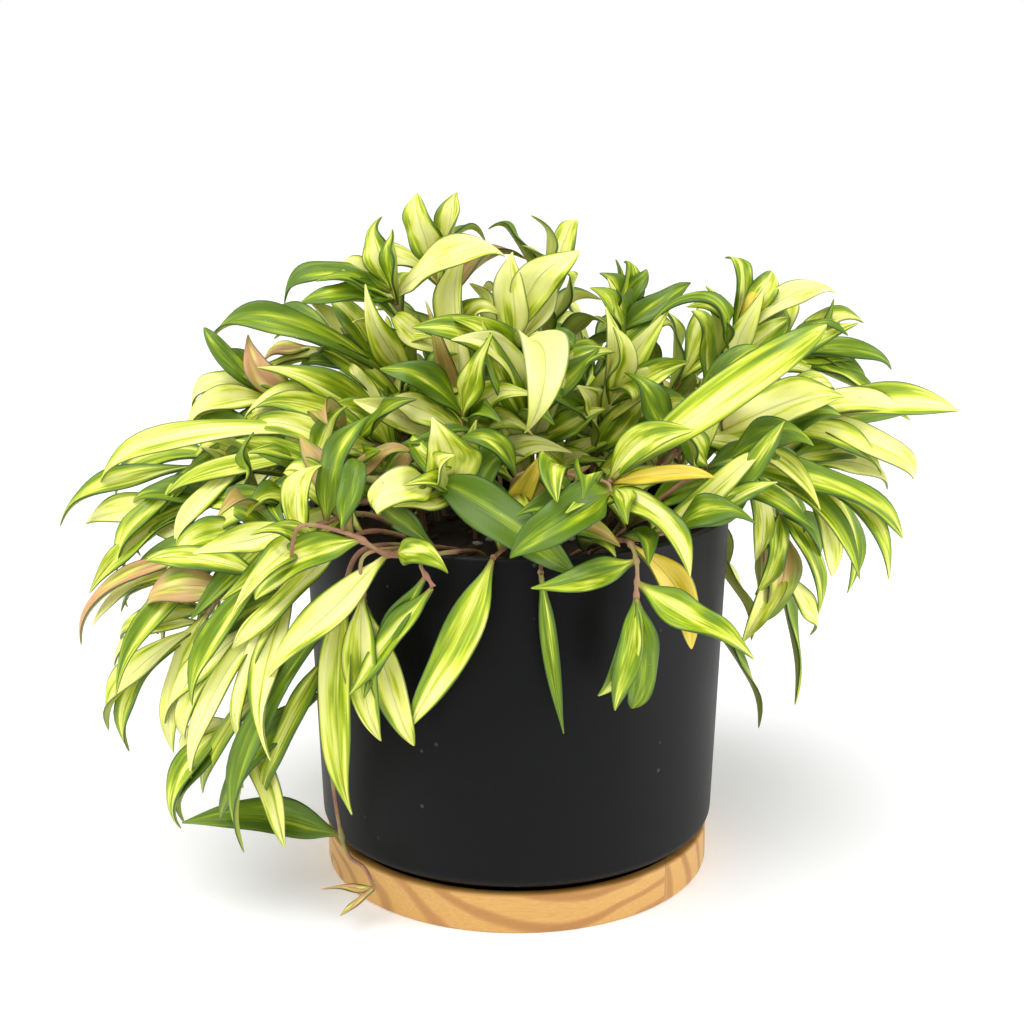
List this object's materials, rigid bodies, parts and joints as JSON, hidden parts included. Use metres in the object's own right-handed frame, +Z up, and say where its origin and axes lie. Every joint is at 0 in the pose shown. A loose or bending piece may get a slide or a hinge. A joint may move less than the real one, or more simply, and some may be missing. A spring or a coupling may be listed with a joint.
{
  "type": "potted hoya plant",
  "caption": "Trailing variegated hoya with narrow cream and green leaves, growing in a round black pot that stands on a wooden saucer.",
  "frame": {"origin": "centre of the saucer's underside, on the surface the plant stands on", "axes": "+Z up, the widest spread of leaves along X, the side the leaves are dressed to look from faces -Y"},
  "size_m": [0.435, 0.2912, 0.3284],
  "materials": {
    "wood": "satin",
    "black_glaze": "matte",
    "potting_soil": "rough",
    "leaf": "semi-gloss"
  },
  "bodies": {
    "root": {"saucer": "wood", "pot": "black_glaze", "soil": "potting_soil", "top_left_back": "leaf", "top_left": "leaf", "left_arch": "leaf", "left_high": "leaf", "left_long": "leaf", "left_mid": "leaf", "left_low": "leaf", "left_fall_front": "leaf", "left_fall_back": "leaf", "left_trail": "leaf", "knobbly_vine": "leaf", "front_left": "leaf", "front_left_hanging": "leaf", "front_middle": "leaf", "front_centre": "leaf", "front_right": "leaf", "centre_front": "leaf", "centre": "leaf", "centre_right": "leaf", "right_low": "leaf", "right_front": "leaf", "right_side": "leaf", "right_hanging": "leaf", "right_top": "leaf", "right_mid": "leaf", "top_middle": "leaf", "top_back": "leaf", "top_right": "leaf", "back_vine_1": "leaf", "back_vine_2": "leaf", "back_vine_3": "leaf", "back_vine_4": "leaf", "back_vine_5": "leaf", "back_vine_6": "leaf", "back_vine_7": "leaf", "back_vine_8": "leaf", "middle_vine_1": "leaf", "middle_vine_2": "leaf", "middle_vine_3": "leaf", "middle_vine_4": "leaf", "middle_vine_5": "leaf", "middle_vine_6": "leaf", "middle_vine_7": "leaf", "middle_vine_8": "leaf"}
  },
  "joints": []
}
